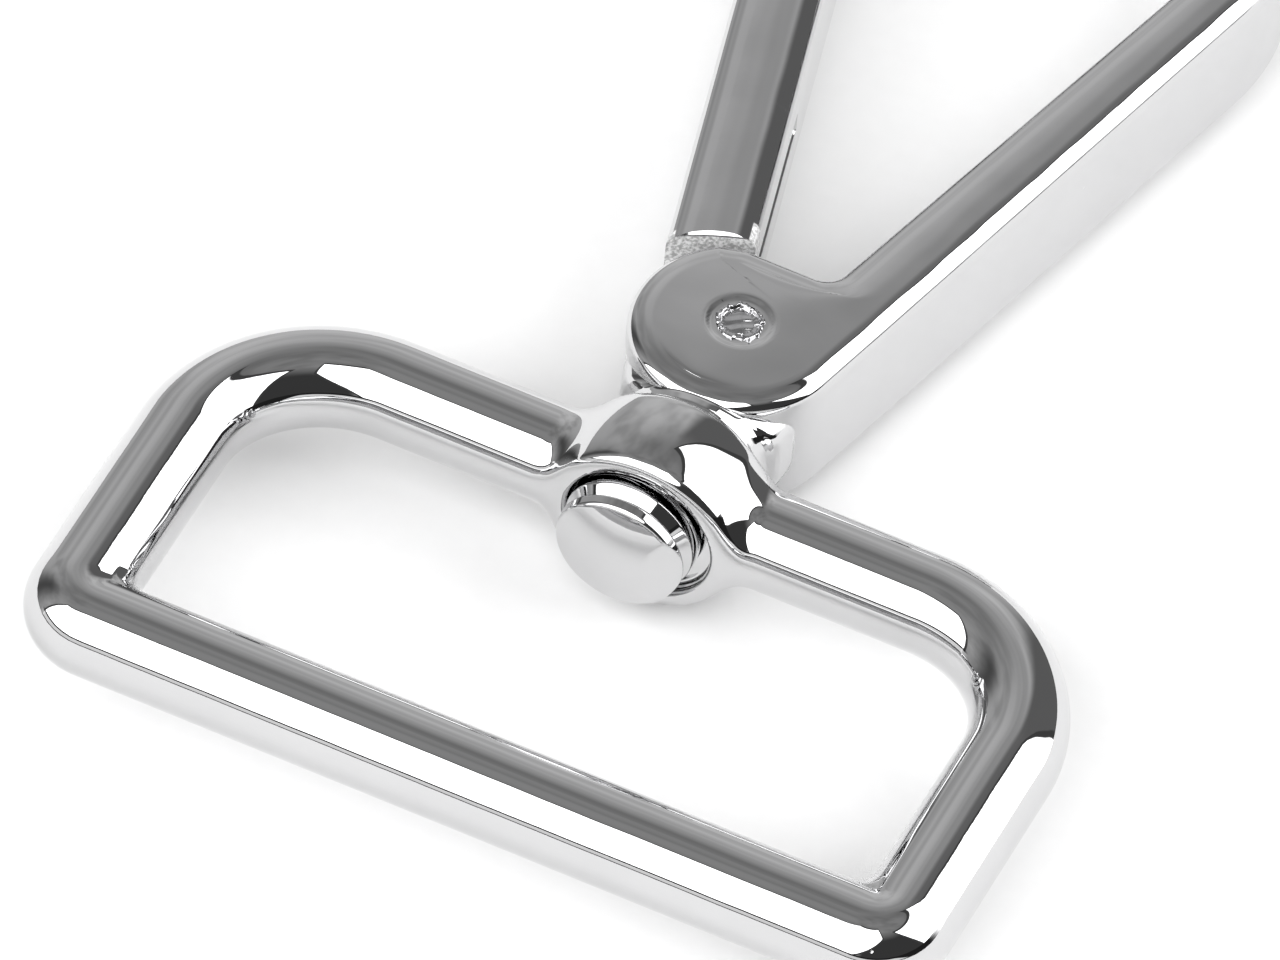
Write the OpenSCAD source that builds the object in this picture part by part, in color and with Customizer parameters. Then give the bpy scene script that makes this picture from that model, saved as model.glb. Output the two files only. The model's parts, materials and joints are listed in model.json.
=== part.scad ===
// Swivel snap hook for webbing: a rectangular strap loop turns on a headed stud below a gated hook.
// X runs along the strap bar, Y from the strap bar to the hook, Z across the hook's flat sides.
// The origin is the middle of the strap bar's axis.

/* [Strap loop] */
// Webbing width that the loop takes, its clear inner width
strap_w = 40; // [36:0.5:44]
// Clear depth inside the loop, from the strap bar to the swivel bar
loop_gap = 16.2; // [14:0.2:24]
// Diameter of the loop's round bar
bar_d = 5.1; // [4.6:0.1:5.6]
// Centreline radius of the two corners beside the swivel
wide_corner_r = 8; // [6:0.5:9]
// Centreline radius of the two corners beside the strap bar
tight_corner_r = 1.6; // [1:0.1:2.4]

/* [Swivel] */
// Outer radius of the collar in the middle of the swivel bar
collar_r = 5.3; // [5:0.1:6]
// Length of the collar along the swivel axis
collar_len = 5.7; // [5.4:0.1:6]
// Radius of the stud's shank
stud_r = 2.2; // [1.8:0.1:2.4]
// Radius of the stud's head
head_r = 3.5; // [3.2:0.1:3.7]

/* [Hook] */
// Thickness of the hook body across its flat sides
body_t = 8; // [7.4:0.1:8.4]
// Width of the hook's arm where it leaves the boss
arm_w = 4.1; // [3.8:0.1:4.6]
// Width of the bow, which the arm tapers to
bow_w = 3.6; // [3.4:0.1:3.8]
// Radius of the round boss that holds the gate's rivet
boss_r = 5.6; // [5.4:0.1:6]
// Distance from the swivel bar's axis to the rivet's axis
pivot_gap = 9.2; // [9:0.1:10]
// Distance that the boss's far side rises above the rivet's axis, where it is cut flat
boss_top = 4.9; // [4.8:0.1:5.2]
// Sideways place of the rivet's axis
pivot_x = -0.3; // [-0.5:0.1:0]
// Angle that the arm, and the gate on the other side, leans away from the swivel axis
spread = 14; // [12:0.5:16]
// Centreline radius of the bow at the top of the hook
bow_r = 11.4; // [10.8:0.1:11.6]

/* [Gate] */
// Width of the gate's bar
gate_w = 4.4; // [4:0.1:4.6]
// Thickness of the gate's bar across its flat sides
gate_t = 7.8; // [7:0.1:7.8]
// Distance from the rivet's axis to the middle line of the gate's bar
gate_offset = 2.5; // [2.4:0.1:2.7]

/* [Rivet and spring] */
// Radius of the rivet's shank
rivet_r = 1.2; // [1:0.05:1.3]
// Diameter of the spring wire
wire_d = 0.75; // [0.6:0.05:0.8]

/* [Hidden] */
$fn = 96;
eps = 0.01;
overlap = 0.2;

// Strap loop
bar_r = bar_d / 2;
half_x = strap_w / 2 + bar_r;
swivel_y = loop_gap + bar_d;

// Swivel, measured along Y from the swivel bar's axis
run_gap = 0.06;
collar_back = bar_r + 0.25;
collar_front = collar_back - collar_len;
recess_depth = 0.9;
recess_r = head_r + 0.4;
head_back = collar_front + recess_depth - 0.1;
head_len = 3;
under_len = 1.1;
under_step = 0.25;
dome_r = 9;
facet_x = 1.3;
facet_angle = 28;
flare_len = 2.6;
flare_rise = 0.9;
collar_bevel = 0.5;
shoulder_y = collar_back + 0.15;
shoulder_r = body_t / 2 - 0.2;
shoulder_len = 1.6;
stud_seat_y = 4.6;

// Hook outline
arm_offset = boss_r - arm_w / 2;
pivot = [pivot_x, pivot_gap];
arm_out = [cos(spread), -sin(spread)];
arm_along = [sin(spread), cos(spread)];
gate_out = [-cos(spread), -sin(spread)];
gate_along = [-sin(spread), cos(spread)];
bow_c = pivot + [
    (arm_offset - gate_offset) / (2 * cos(spread)),
    (2 * bow_r - arm_offset - gate_offset) / (2 * sin(spread))
];
arm_foot = pivot + arm_offset * arm_out;
arm_top = bow_c + bow_r * arm_out;
gate_foot = pivot + gate_offset * gate_out;
gate_reach = norm(bow_c + bow_r * gate_out - gate_foot);
edge_cut = 0.45;
edge_drop = 0.6;

// Neck: its thickness, and its left and right edges at the shoulder and inside the boss
neck_h = 5;
neck_near = [-4.8, 4.7];
neck_far = [-5.6, 3.9];
neck_end = pivot_gap - boss_r / 2;

// Clevis and gate tongue
slot_h = 3.6;
slot_r = 4.4;
mouth_side = 1.1;
mouth_angle = 226;
tongue_h = 3.3;
tongue_r = 4;
tongue_root = 0.6;
heel_r = 5.4;
heel_angles = [160, 222];
gate_start_r = boss_r + 0.5;
tip_gap = 0.3;
lip_w = 1.6;
lip_len = 2.6;
lip_gap = 0.2;

// Rivet seats
sink_r = 1.75;
sink_depth = 0.55;
rim_r = 1.3;
rim_wall = 0.4;
hollow_depth = 0.3;
head_gap = 0.15;
top_gap = 0.05;

// Spring
coil_r = 1.9;
pocket_r = 3;
pocket_h = 1.9;
leg_slot_h = 1.2;
leg_slot_depth = 1.7;
leg_len = 16.5;
leg_inset = 0.75;
leg_room = 0.6;
coil_touch = 0.05;
fixed_gap = 0.1;
fixed_angle = 8;
window_r = 6;
window_angles = [-40, 60];

function at(base, along, u, out, w) = base + u * along + w * out;
function polar(r, a) = [r * cos(a), r * sin(a)];

// ---------- shared shapes ----------

// A straight round bar between two points, both on one line along X or along Y
module bar(p, q) {
    d = q - p;
    translate(p) rotate([0, 90, atan2(d[1], d[0])]) cylinder(r = bar_r, h = norm(d));
}

// A quarter turn of the round bar about centre c, starting at angle a
module bar_corner(c, r, a) {
    translate(c) rotate([0, 0, a]) rotate_extrude(angle = 90)
        intersection() {
            translate([r, 0]) circle(r = bar_r);
            translate([0, -bar_d]) square([r + bar_d, 2 * bar_d]);
        }
}

// A cylinder along +Y from y0 to y1 on the swivel axis
module swivel_cylinder(r, y0, y1) {
    translate([0, swivel_y + y0, 0]) rotate([-90, 0, 0]) cylinder(r = r, h = y1 - y0);
}

// A straight band of width w from u0 to u1 along a line, its middle line offset from base
module band(base, along, out, u0, u1, w) {
    polygon([
        at(base, along, u0, out, -w / 2),
        at(base, along, u1, out, -w / 2),
        at(base, along, u1, out, w / 2),
        at(base, along, u0, out, w / 2)
    ]);
}

// A flat slice of height h about Z = 0, drawn in coordinates of the swivel bar's middle
module slab(h) {
    translate([0, swivel_y, -h / 2]) linear_extrude(h) children();
}

// ---------- strap loop ----------

module loop_bars() {
    near_x = half_x - tight_corner_r;
    far_x = half_x - wide_corner_r;
    near_y = tight_corner_r;
    far_y = swivel_y - wide_corner_r;
    bar([-near_x, 0, 0], [near_x, 0, 0]);
    bar([-far_x, swivel_y, 0], [far_x, swivel_y, 0]);
    for (side = [-1, 1])
        bar([side * half_x, near_y, 0], [side * half_x, far_y, 0]);
    bar_corner([near_x, near_y, 0], tight_corner_r, 270);
    bar_corner([-near_x, near_y, 0], tight_corner_r, 180);
    bar_corner([far_x, far_y, 0], wide_corner_r, 0);
    bar_corner([-far_x, far_y, 0], wide_corner_r, 90);
}

// The collar's barrel, crowned along its length
module collar_barrel() {
    translate([0, swivel_y, 0]) rotate([-90, 0, 0])
        rotate_extrude()
            polygon([
                [0, collar_front],
                [collar_r - 2 * collar_bevel, collar_front],
                [collar_r - 0.6 * collar_bevel, collar_front + collar_bevel],
                [collar_r, collar_front + 3 * collar_bevel],
                [collar_r, collar_back - 3 * collar_bevel],
                [collar_r - 0.6 * collar_bevel, collar_back - collar_bevel],
                [collar_r - 2 * collar_bevel, collar_back],
                [0, collar_back]
            ]);
}

// The waist on each side where the collar runs out into the bar, level with the collar's ends
module collar_flares() {
    flare_end = collar_r + flare_len;
    intersection() {
        for (turn = [-90, 90])
            translate([0, swivel_y, 0]) rotate([0, turn, 0]) rotate_extrude()
                polygon([
                    [0, 0],
                    [bar_r + flare_rise, 0],
                    [bar_r + flare_rise, collar_r - flare_rise],
                    [bar_r + flare_rise / 3, collar_r + flare_rise / 2],
                    [bar_r, flare_end],
                    [0, flare_end]
                ]);
        swivel_cylinder(2 * flare_end, collar_front, collar_back);
    }
}

module strap_loop() {
    color("gainsboro") difference() {
        union() {
            loop_bars();
            collar_barrel();
            collar_flares();
        }
        swivel_cylinder(stud_r + run_gap, collar_front - 1, collar_back + 1);
        swivel_cylinder(recess_r, collar_front - 1, collar_front + recess_depth);
    }
}

// ---------- swivel stud ----------

// Turned about the swivel axis: the shank, an under-head step and a domed head with one flat
module swivel_stud() {
    front = head_back - head_len;
    color("silver") difference() {
        union() {
            swivel_cylinder(stud_r, head_back - eps, stud_seat_y);
            swivel_cylinder(head_r - under_step, head_back - under_len, head_back);
            intersection() {
                swivel_cylinder(head_r, front, head_back - under_len + overlap);
                translate([0, swivel_y + front + dome_r, 0]) sphere(r = dome_r);
            }
        }
        translate([facet_x, swivel_y + front, -head_r - 1]) rotate([0, 0, facet_angle])
            translate([0, -head_len, 0]) cube([2 * head_r, head_len, 2 * head_r + 2]);
    }
}

// ---------- hook body ----------

// The round boss, cut flat on its far side
module boss(inset) {
    intersection() {
        translate(pivot) circle(r = boss_r - inset);
        translate(pivot - [2 * boss_r, 2 * boss_r])
            square([4 * boss_r, 2 * boss_r + boss_top - inset]);
    }
}

// The arm, which tapers from the boss to the bow
module arm(inset) {
    reach = norm(arm_top - arm_foot) + overlap;
    foot = arm_w / 2 - inset;
    top = bow_w / 2 - inset;
    polygon([
        at(arm_foot, arm_along, 0, arm_out, -foot),
        at(arm_foot, arm_along, reach, arm_out, -top),
        at(arm_foot, arm_along, reach, arm_out, top),
        at(arm_foot, arm_along, 0, arm_out, foot)
    ]);
}

// The bow, from the end of the arm round to the nose
module bow(inset) {
    far = 2 * bow_r;
    translate(bow_c) difference() {
        circle(r = bow_r + bow_w / 2 - inset);
        circle(r = bow_r - bow_w / 2 + inset);
        polygon([
            [0, 0],
            polar(far, -spread),
            [0, -far],
            polar(far, 180 + spread)
        ]);
    }
}

// The nose's outer lip, which laps over the gate's tip
module nose_lip(inset) {
    edge = gate_offset + bow_w / 2;
    polygon([
        at(pivot, gate_along, gate_reach - lip_len, gate_out, edge - lip_w),
        at(pivot, gate_along, gate_reach - lip_len, gate_out, edge - inset),
        at(pivot, gate_along, gate_reach + overlap, gate_out, edge - inset),
        at(pivot, gate_along, gate_reach + overlap, gate_out, edge - lip_w)
    ]);
}

module hook_outline(inset) {
    boss(inset);
    arm(inset);
    bow(inset);
    nose_lip(inset);
}

// The neck joins the boss to the round shoulder that bears on the collar
module neck() {
    slab(neck_h)
        polygon([
            [neck_near[0], shoulder_y],
            [neck_near[1], shoulder_y],
            [neck_far[1], neck_end],
            [neck_far[0], neck_end]
        ]);
    swivel_cylinder(shoulder_r, shoulder_y, shoulder_y + shoulder_len);
}

// The room that the gate's tongue and heel turn in
module clevis_slot() {
    far = 2 * boss_r;
    slab(slot_h) {
        translate(pivot) circle(r = slot_r);
        translate(pivot)
            polygon([
                [0, 0],
                polar(far, mouth_angle),
                polar(far, 180),
                polar(far, 130),
                polar(far, 90 - spread) + mouth_side * arm_out,
                mouth_side * arm_out
            ]);
    }
}

module rivet_seats() {
    translate([pivot[0], swivel_y + pivot[1], -body_t]) cylinder(r = rivet_r, h = 2 * body_t);
    for (side = [0, 180])
        translate([pivot[0], swivel_y + pivot[1], 0]) rotate([side, 0, 0])
            translate([0, 0, body_t / 2 - sink_depth]) cylinder(r = sink_r, h = 1);
}

module hook_body() {
    color("gainsboro") difference() {
        union() {
            slab(body_t - 2 * edge_drop) hook_outline(0);
            slab(body_t) hook_outline(edge_cut);
            neck();
        }
        clevis_slot();
        rivet_seats();
        swivel_cylinder(stud_r, shoulder_y - 1, stud_seat_y);
    }
}

// ---------- rivet ----------

// A semi-tubular rivet: a plain head below, a rolled rim round a shallow hollow above
module gate_rivet() {
    top = body_t / 2 - top_gap;
    seat = body_t / 2 - sink_depth;
    color("darkgray") translate([pivot[0], swivel_y + pivot[1], 0]) difference() {
        union() {
            translate([0, 0, -seat]) cylinder(r = rivet_r, h = 2 * seat);
            translate([0, 0, seat]) cylinder(r = rim_r, h = top - seat);
            translate([0, 0, -top]) cylinder(r = sink_r - head_gap, h = top - seat);
        }
        translate([0, 0, top - hollow_depth]) cylinder(r = rim_r - rim_wall, h = 1);
    }
}

// ---------- gate ----------

module gate_bar() {
    slab(gate_t) difference() {
        band(gate_foot, gate_along, gate_out, 0, gate_reach - tip_gap, gate_w);
        translate(pivot) circle(r = gate_start_r);
        polygon([
            at(pivot, gate_along, gate_reach - lip_len - lip_gap, gate_out,
                gate_offset + bow_w / 2 - lip_w - lip_gap),
            at(pivot, gate_along, gate_reach - lip_len - lip_gap, gate_out, gate_offset + gate_w),
            at(pivot, gate_along, gate_reach + 1, gate_out, gate_offset + gate_w),
            at(pivot, gate_along, gate_reach + 1, gate_out,
                gate_offset + bow_w / 2 - lip_w - lip_gap)
        ]);
    }
}

// The tongue between the boss's two ears, with the heel that stops the gate when it is closed
module gate_tongue() {
    inner = gate_offset - gate_w / 2;
    outer = gate_offset + gate_w / 2;
    slab(tongue_h) {
        translate(pivot) circle(r = tongue_r);
        polygon([
            at(pivot, gate_along, 0, gate_out, inner),
            at(pivot, gate_along, gate_start_r + tongue_root, gate_out, inner),
            at(pivot, gate_along, gate_start_r + tongue_root, gate_out, outer),
            at(pivot, gate_along, 1, gate_out, outer)
        ]);
        translate(pivot) intersection() {
            circle(r = heel_r);
            polygon([[0, 0], polar(2 * heel_r, heel_angles[0]), polar(2 * heel_r, heel_angles[1])]);
        }
    }
}

// Pocket for the coil, groove for the moving leg and a window for the fixed leg
module spring_room() {
    slab(pocket_h) translate(pivot) circle(r = pocket_r);
    slab(leg_slot_h) {
        band(pivot + (gate_offset - gate_w / 2) * gate_out, gate_along, gate_out,
            0, leg_len + leg_room, 2 * leg_slot_depth);
        translate(pivot)
            polygon([
                [0, 0],
                polar(window_r, window_angles[0]),
                polar(1.3 * window_r, 0),
                polar(window_r, window_angles[1])
            ]);
    }
}

module gate() {
    color("whitesmoke") difference() {
        union() {
            gate_bar();
            gate_tongue();
        }
        spring_room();
        translate([pivot[0], swivel_y + pivot[1], -body_t])
            cylinder(r = rivet_r + run_gap, h = 2 * body_t);
    }
}

// ---------- spring ----------

// A straight length of spring wire in the plane of the hook, at height z
module wire(p, q, z) {
    d = q - p;
    translate([p[0], swivel_y + p[1], z]) rotate([0, 90, atan2(d[1], d[0])])
        cylinder(d = wire_d, h = norm(d));
}

// Two turns round the rivet, one leg along the gate and one against the web of the clevis
module gate_spring() {
    leg_w = gate_offset - gate_w / 2 + leg_inset;
    leg_z = wire_d / 2 - coil_touch;
    leg_start = sqrt(coil_r * coil_r - leg_w * leg_w);
    color("dimgray") {
        for (z = [-leg_z, leg_z])
            translate([pivot[0], swivel_y + pivot[1], z])
                rotate_extrude() translate([coil_r, 0]) circle(d = wire_d);
        wire(at(pivot, gate_along, leg_start, gate_out, leg_w),
            at(pivot, gate_along, leg_len, gate_out, leg_w), 0);
        wire(pivot + polar(coil_r, fixed_angle), pivot + polar(slot_r - fixed_gap, fixed_angle), 0);
    }
}

strap_loop();
swivel_stud();
hook_body();
gate_rivet();
gate();
gate_spring();
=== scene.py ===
"""Looks of a chrome swivel snap hook for 40 mm webbing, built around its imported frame.

Every visible piece is a closed surface worked out in millimetres from the frame's own boxes and joint
axes, then written to a mesh in metres. X runs along the strap bar, Y from the strap bar to the hook, Z
across the hook's flat sides."""

import json
import math

import bmesh
import bpy
import numpy as np
from mathutils import Matrix, Vector


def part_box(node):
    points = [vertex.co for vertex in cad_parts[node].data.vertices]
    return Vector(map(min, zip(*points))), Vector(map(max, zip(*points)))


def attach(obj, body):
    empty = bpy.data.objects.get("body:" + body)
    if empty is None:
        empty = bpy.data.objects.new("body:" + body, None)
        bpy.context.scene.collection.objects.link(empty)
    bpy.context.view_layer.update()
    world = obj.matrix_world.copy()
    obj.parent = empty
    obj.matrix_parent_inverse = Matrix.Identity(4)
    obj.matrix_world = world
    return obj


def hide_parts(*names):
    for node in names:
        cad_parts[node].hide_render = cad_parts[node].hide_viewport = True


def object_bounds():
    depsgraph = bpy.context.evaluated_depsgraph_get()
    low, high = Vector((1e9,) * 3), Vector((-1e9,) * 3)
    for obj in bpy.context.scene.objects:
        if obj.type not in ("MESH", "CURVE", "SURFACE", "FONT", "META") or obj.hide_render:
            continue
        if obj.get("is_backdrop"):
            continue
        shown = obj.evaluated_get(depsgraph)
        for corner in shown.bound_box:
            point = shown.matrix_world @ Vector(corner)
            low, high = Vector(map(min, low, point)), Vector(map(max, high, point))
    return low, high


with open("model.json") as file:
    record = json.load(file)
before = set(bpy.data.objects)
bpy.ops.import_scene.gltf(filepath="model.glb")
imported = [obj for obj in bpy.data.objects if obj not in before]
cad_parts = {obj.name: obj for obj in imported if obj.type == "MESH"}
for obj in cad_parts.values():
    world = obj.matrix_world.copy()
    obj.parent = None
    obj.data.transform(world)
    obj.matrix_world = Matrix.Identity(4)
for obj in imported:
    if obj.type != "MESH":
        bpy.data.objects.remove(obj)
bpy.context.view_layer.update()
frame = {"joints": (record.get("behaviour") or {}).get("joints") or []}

MM = 0.001
MERGE_M = 4e-7  # points closer than this, in metres, become one
BEYOND = 9.0  # past everything that a cutting tool has to reach, in millimetres

# ---------- sizes in millimetres: the frame's own, and those that follow the solids ----------

JOINTS = {joint["name"]: joint for joint in frame["joints"]}


def box_mm(node):
    """Lowest and highest corner of a CAD node, in millimetres."""
    low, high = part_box(node)
    return np.array(low) / MM, np.array(high) / MM


loop_low, loop_high = box_mm("strap_loop")
hook_low, hook_high = box_mm("hook_body")
stud_low, stud_high = box_mm("swivel_stud")
_, gate_high = box_mm("gate")

SWIVEL_Y = JOINTS["loop_swivel"]["pos_m"][1] / MM
PIVOT = np.array(JOINTS["gate_hinge"]["pos_m"][:2]) / MM

# strap loop
BAR_R = -loop_low[1]
HALF_X = loop_high[0] - BAR_R
WIDE_R = 8.0
TIGHT_R = 1.6
COLLAR_R = loop_high[2]
COLLAR_BACK = loop_high[1] - SWIVEL_Y
COLLAR_FRONT = -2.9
COLLAR_BLEND = 1.2
COLLAR_FRONT_EDGE = 0.6
COLLAR_BACK_EDGE = 1.0
COLLAR_CROWN = 0.055
COLLAR_TRIM = 0.35
COLLAR_ZONE = (14.0, 9.0)
CORNER_FILLET = 1.3
RECESS_R = 3.9
RECESS_DEPTH = 0.9
RECESS_LIP = 0.5
RUN_GAP = 0.06

# how finely the loop's surface is divided: the fan's least radius, steps along it and points round it,
# and how often the distance to the surface is halved
FAN_R = 4.2
CORNER_STEPS = (0.35, 0.3, 0.3, 0.35)
RUN_STEPS = (0.6, 0.15, 0.6, 0.6)
SECTION_POINTS = 140
HALVINGS = 34

# swivel stud
STUD_R = 2.2
HEAD_R = stud_high[0]
HEAD_FRONT = stud_low[1] - SWIVEL_Y
STUD_END = stud_high[1] - SWIVEL_Y
HEAD_LEN = 3.0
HEAD_SHIFT = -0.33
DOME_R = 9.0
DOME_EDGE = 0.25
GROOVE_FROM, GROOVE_TO = 1.25, 1.4
FLANGE_BEVEL = 0.55
FLANGE_FROM, FLANGE_TO = 2.05, 2.65
FACET_X = 1.15
FACET_TURN = math.radians(28)

# hook
HALF_T = hook_high[2]
BOSS_R = 5.6
BOSS_TOP = 4.9
ARM_W = 4.1
BOW_W = 3.6
LEAN = math.radians(14)
BOW_R = 11.4
EDGE_R = 0.75
SHOULDER_Y = hook_low[1] - SWIVEL_Y
SLOT_HALF = 1.8
SLOT_R = 4.4
SLOT_SIDE = 1.1
MOUTH_ANGLE = 226
LID_SLOPE = math.tan(math.radians(4))
RIM_SLOPE = math.tan(math.radians(19))
CROWN_MAX = 0.12

# gate
GATE_W = 4.4
GATE_HALF = gate_high[2]
GATE_OFFSET = 2.5
GATE_START = BOSS_R + 0.28
ROUGH_R = 6.9
ROUGH_TOP = 3.6
TONGUE_HALF = 1.65
TIP_GAP = 0.3
LIP_W = 1.6
LIP_LEN = 2.6
LIP_GAP = 0.2
END_SPARE = 3.4
END_R, END_ALONG, END_OUT = 14.0, -8.18, -0.35
END_CHAMFER, END_SLOPE = 0.17, math.tan(math.radians(37))
END_DROP = 0.09
TONGUE_R = 4.0
HEEL_R = 5.4
POCKET_R, POCKET_HALF = 3.0, 0.95
GROOVE_HALF, GROOVE_DEPTH = 0.6, 1.6

# rivet and spring
RIVET_R = 1.2
SEAT_R = 1.75
SEAT_DIP = 0.1
COIL_R = 1.9
WIRE_D = 0.75
LEG_LEN = 16.5
LEG_INSET = 0.75
FIXED_ANGLE = 8
RIM_SPLITS = (0.3, 1.35, 2.6, 4.1, 5.3)

ARM_OUT = np.array([math.cos(LEAN), -math.sin(LEAN)])
ARM_ALONG = np.array([math.sin(LEAN), math.cos(LEAN)])
GATE_OUT = np.array([-math.cos(LEAN), -math.sin(LEAN)])
GATE_ALONG = np.array([-math.sin(LEAN), math.cos(LEAN)])
ARM_OFFSET = BOSS_R - ARM_W / 2
PIVOT_V = PIVOT - np.array([0, SWIVEL_Y])
BOW_C = PIVOT_V + np.array([
    (ARM_OFFSET - GATE_OFFSET) / (2 * math.cos(LEAN)),
    (2 * BOW_R - ARM_OFFSET - GATE_OFFSET) / (2 * math.sin(LEAN)),
])
ARM_FOOT = PIVOT_V + ARM_OFFSET * ARM_OUT
ARM_REACH = float((BOW_C + BOW_R * ARM_OUT - ARM_FOOT) @ ARM_ALONG)
GATE_REACH = float((BOW_C - PIVOT_V) @ GATE_ALONG)


def polar(radius, angle, centre=(0.0, 0.0)):
    """The point in plan at a radius and an angle, in degrees, from a centre."""
    turn = math.radians(angle)
    return np.asarray(centre) + radius * np.array([math.cos(turn), math.sin(turn)])


def arm_point(u, w):
    """The point in plan u along the arm from its foot and w outwards from its middle line."""
    return ARM_FOOT + u * ARM_ALONG + w * ARM_OUT


def gate_point(u, w):
    """The point in plan u along the gate and w outwards, both from the rivet's axis."""
    return PIVOT_V + u * GATE_ALONG + w * GATE_OUT


# ---------- curves and grids ----------

def smooth_max(a, b, k):
    """The larger of a and b, with the corner between them rounded over a width k."""
    h = np.maximum(k - np.abs(a - b), 0) / k
    return np.maximum(a, b) + h * h * k / 4


def smooth_min(a, b, k):
    """The smaller of a and b, with the corner between them filled over a width k."""
    return -smooth_max(-a, -b, k)


def segment(start, end, step):
    """Points from start towards end, step apart, without the end point."""
    start, end = np.asarray(start, float), np.asarray(end, float)
    count = max(1, round(float(np.linalg.norm(end - start)) / step))
    t = np.arange(count)[:, None] / count
    return start + t * (end - start)


def arc(centre, radius, start, end, step):
    """Points on a circle from angle start to angle end, in degrees, without the end point."""
    count = max(2, round(abs(math.radians(end - start)) * radius / step))
    a = np.radians(start + (end - start) * np.arange(count) / count)
    return np.asarray(centre) + radius * np.stack([np.cos(a), np.sin(a)], 1)


def rounded(corners, radii, step):
    """A path through corners whose turns are arcs: each corner of radius r starts r tan(turn / 2)
    before it. The first and last points stay where they are."""
    corners = [np.asarray(c, float) for c in corners]
    parts = [corners[0]]
    path = []
    for before, corner, after, radius in zip(corners, corners[1:], corners[2:], radii):
        into = (corner - before) / np.linalg.norm(corner - before)
        out = (after - corner) / np.linalg.norm(after - corner)
        turn = math.atan2(into[0] * out[1] - into[1] * out[0], into @ out)
        cut = radius * math.tan(abs(turn) / 2)
        first = corner - cut * into
        path.append(segment(parts[-1], first, step))
        side = math.copysign(1, turn)
        centre = first + radius * side * np.array([-into[1], into[0]])
        a0 = math.degrees(math.atan2(*(first - centre)[::-1]))
        path.append(arc(centre, radius, a0, a0 + math.degrees(turn), min(step, radius / 4)))
        parts.append(corner + cut * out)
    path.append(segment(parts[-1], corners[-1], step))
    path.append(corners[-1][None])
    return np.concatenate(path)


def resample(path, count):
    """count points evenly spaced by length along a path."""
    path = np.asarray(path, float)
    length = np.concatenate([[0], np.cumsum(np.linalg.norm(np.diff(path, axis=0), axis=1))])
    at = np.linspace(0, length[-1], count)
    return np.stack([np.interp(at, length, path[:, k]) for k in range(path.shape[1])], 1)


def grid_faces(rows, cols, close_rows=False, close_cols=False):
    """Quads of a grid of rows by cols points, numbered row by row; a closed direction joins its last
    line to its first."""
    i = np.arange(rows if close_rows else rows - 1)
    j = np.arange(cols if close_cols else cols - 1)
    i, j = np.meshgrid(i, j, indexing="ij")
    i2, j2 = (i + 1) % rows, (j + 1) % cols
    return np.stack([i * cols + j, i2 * cols + j, i2 * cols + j2, i * cols + j2], -1).reshape(-1, 4)


def closed_mesh(name, parts):
    """One mesh from parts, each a pair (points in millimetres, quads). Points that coincide are merged,
    which closes seams and poles, and the faces are turned to point outwards."""
    points, faces, start = [], [], 0
    for part_points, part_faces in parts:
        part_points = np.asarray(part_points, float).reshape(-1, 3)
        points.append(part_points)
        faces.append(part_faces + start)
        start += len(part_points)
    mesh = bpy.data.meshes.new(name)
    mesh.from_pydata((np.concatenate(points) * MM).tolist(), [], np.concatenate(faces).tolist())
    bm = bmesh.new()
    bm.from_mesh(mesh)
    bmesh.ops.remove_doubles(bm, verts=bm.verts, dist=MERGE_M)
    bmesh.ops.dissolve_degenerate(bm, edges=bm.edges, dist=MERGE_M / 2)
    bmesh.ops.recalc_face_normals(bm, faces=bm.faces)
    bm.to_mesh(mesh)
    bm.free()
    return mesh


def lathe(profile, turns, centre, axis):
    """A closed surface of revolution: profile holds (radius, height) from pole to pole, turned about a
    line through centre along axis "y" or "z"."""
    profile = np.asarray(profile, float)
    a = np.linspace(0, 2 * np.pi, turns, endpoint=False)
    r, h = profile[:, :1], np.repeat(profile[:, 1:], turns, 1)
    u, w = r * np.cos(a), r * np.sin(a)
    points = np.stack([u, h, w] if axis == "y" else [u, w, h], -1) + np.asarray(centre, float)
    return points, grid_faces(len(profile), turns, close_cols=True)


def lifted(parts):
    """Parts drawn from the swivel bar, moved to the frame's origin."""
    return [(points + np.array([0, SWIVEL_Y, 0]), faces) for points, faces in parts]


def combine(mesh, other, operation):
    """mesh with other joined to it or cut out of it, both closed."""
    base = bpy.data.objects.new("base", mesh)
    tool = bpy.data.objects.new("tool", other)
    for o in (base, tool):
        bpy.context.scene.collection.objects.link(o)
    modifier = base.modifiers.new("cut", "BOOLEAN")
    modifier.operation = operation
    modifier.solver = "EXACT"
    modifier.object = tool
    graph = bpy.context.evaluated_depsgraph_get()
    result = bpy.data.meshes.new_from_object(base.evaluated_get(graph), depsgraph=graph)
    for o in (base, tool):
        bpy.data.objects.remove(o)
    return result


def piece(name, mesh, body, node, material, sharp=None):
    """Puts a finished mesh in the scene as the piece that stands for a CAD node. sharp is the angle, in
    degrees, past which an edge stays crisp."""
    mesh.name = name
    mesh.polygons.foreach_set("use_smooth", np.ones(len(mesh.polygons), bool))
    if sharp is not None:
        mesh.set_sharp_from_angle(angle=math.radians(sharp))
    mesh.materials.clear()
    mesh.materials.append(material)
    obj = bpy.data.objects.new(name, mesh)
    bpy.context.scene.collection.objects.link(obj)
    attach(obj, body)
    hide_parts(node)
    return obj


# ---------- strap loop ----------

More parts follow.
